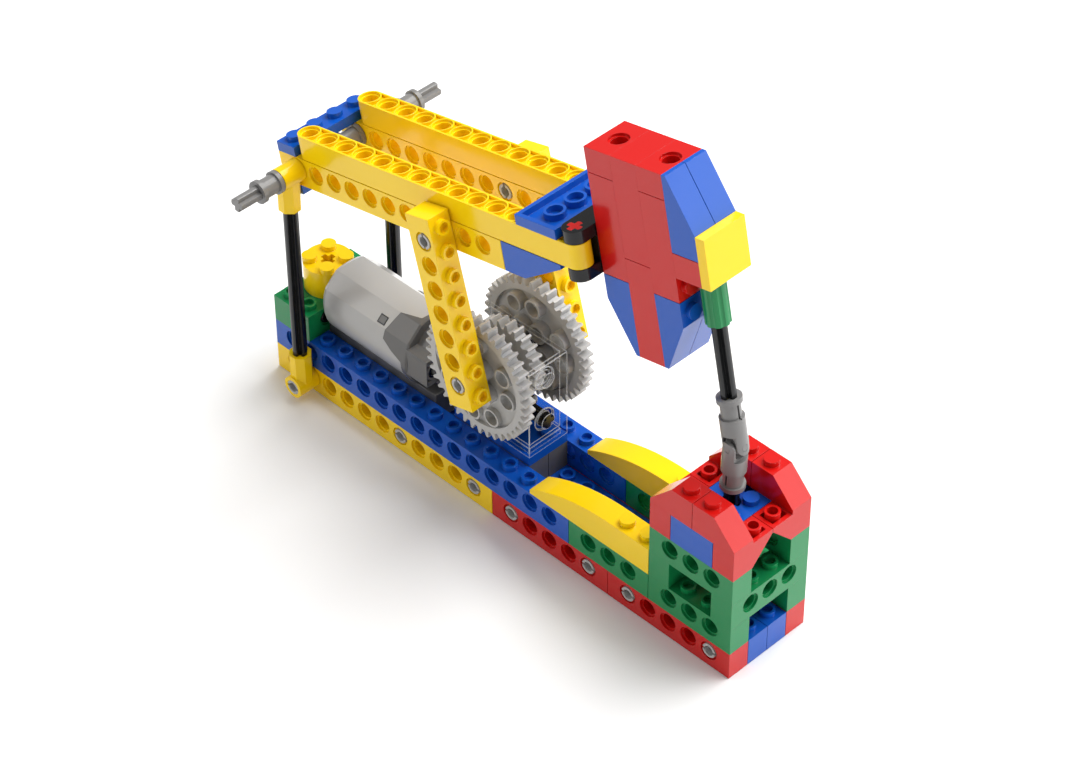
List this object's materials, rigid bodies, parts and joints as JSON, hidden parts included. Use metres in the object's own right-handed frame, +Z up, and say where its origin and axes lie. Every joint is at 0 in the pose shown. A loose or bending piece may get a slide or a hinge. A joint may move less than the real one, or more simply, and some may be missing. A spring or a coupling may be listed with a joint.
{
  "type": "toy pumpjack of studded building bricks",
  "caption": "Toy oil pumpjack of studded bricks: a motor and worm turn crank gears under a rocking beam whose head works a rod in a small well tower.",
  "frame": {"origin": "centre of the base's underside", "axes": "+X from the motor end to the well tower, +Z up, +Y to the side so that the axes are right-handed"},
  "size_m": [0.1918, 0.0798, 0.1555],
  "materials": {
    "red": "glossy red moulded plastic",
    "blue": "glossy blue moulded plastic",
    "yellow": "glossy yellow moulded plastic",
    "green": "glossy green moulded plastic",
    "light_grey": "glossy light grey moulded plastic",
    "dark_grey": "glossy dark grey moulded plastic",
    "black": "glossy black moulded plastic",
    "clear": "clear moulded plastic, seen through"
  },
  "bodies": {
    "base": {"lower_rear_rails": "yellow", "lower_front_rails": "red", "floor_bricks": "blue", "upper_side_rails": "blue", "green_side_bricks": "green", "side_pins": "light_grey", "rear_cross_bricks": "green", "rear_cap_brick": "yellow", "curved_side_bricks": "yellow", "motor_can": "light_grey", "motor_front": "dark_grey", "riser_bricks": "dark_grey", "box_plate": "blue", "worm_box": "clear", "tower_cross_bricks": "green", "tower_inverted_slopes": "red", "tower_outer_plates": "blue", "tower_middle_plate": "blue", "tower_slopes": "red", "post_connectors": "yellow", "post_axles": "black", "pivot_axle": "light_grey", "pivot_bushes": "light_grey"},
    "crank": {"crank_axle": "black", "near_crank_gear": "light_grey", "far_crank_gear": "light_grey", "drive_gear": "light_grey"},
    "screw": {"worm": "black", "motor_shaft": "black"},
    "beam": {"beam_side_bricks": "yellow", "beam_wedges": "blue", "beam_top_bars": "yellow", "beam_tail_plates": "blue", "beam_nose_plate": "blue", "head_forks": "black", "fork_axles": "red", "head_pins": "light_grey", "head_outer_bricks": "red", "head_middle_bricks": "red", "head_slopes": "blue", "head_tile": "yellow", "rod_joiner": "green", "rod_hanger": "black", "upper_rod": "black", "upper_yoke": "light_grey", "joint_cross": "light_grey"},
    "arms": {"crank_arms": "yellow", "crank_arm_pins": "light_grey"},
    "rod": {"lower_yoke": "light_grey", "lower_rod": "black"}
  },
  "joints": [
    {"name": "crank_turn", "type": "hinge", "parent": "base", "child": "crank", "pos_m": [-0.008, 0, 0.048], "axis": [0, 1, 0], "continuous": true},
    {"name": "screw_turn", "type": "hinge", "parent": "base", "child": "screw", "pos_m": [-0.008, 0, 0.032], "axis": [1, 0, 0], "continuous": true},
    {"name": "beam_rock", "type": "hinge", "parent": "base", "child": "beam", "pos_m": [-0.08, 0, 0.0864], "axis": [0, -1, 0], "range_deg": [-1.4, 1.46]},
    {"name": "arm_swing", "type": "hinge", "parent": "beam", "child": "arms", "pos_m": [-0.01729, 0, 0.09919], "axis": [0, -1, 0], "range_deg": [-4.1, 3.95]},
    {"name": "rod_swing", "type": "hinge", "parent": "beam", "child": "rod", "pos_m": [0.08088, 0, 0.07023], "axis": [0, -1, 0], "range_deg": [-2.1, 2]}
  ],
  "couplings": [
    {"joint": "screw_turn", "follows": "crank_turn", "ratio": 24},
    {"joint": "arm_swing", "follows": "beam_rock", "ratio": -2.8},
    {"joint": "rod_swing", "follows": "beam_rock", "ratio": -1.41}
  ]
}
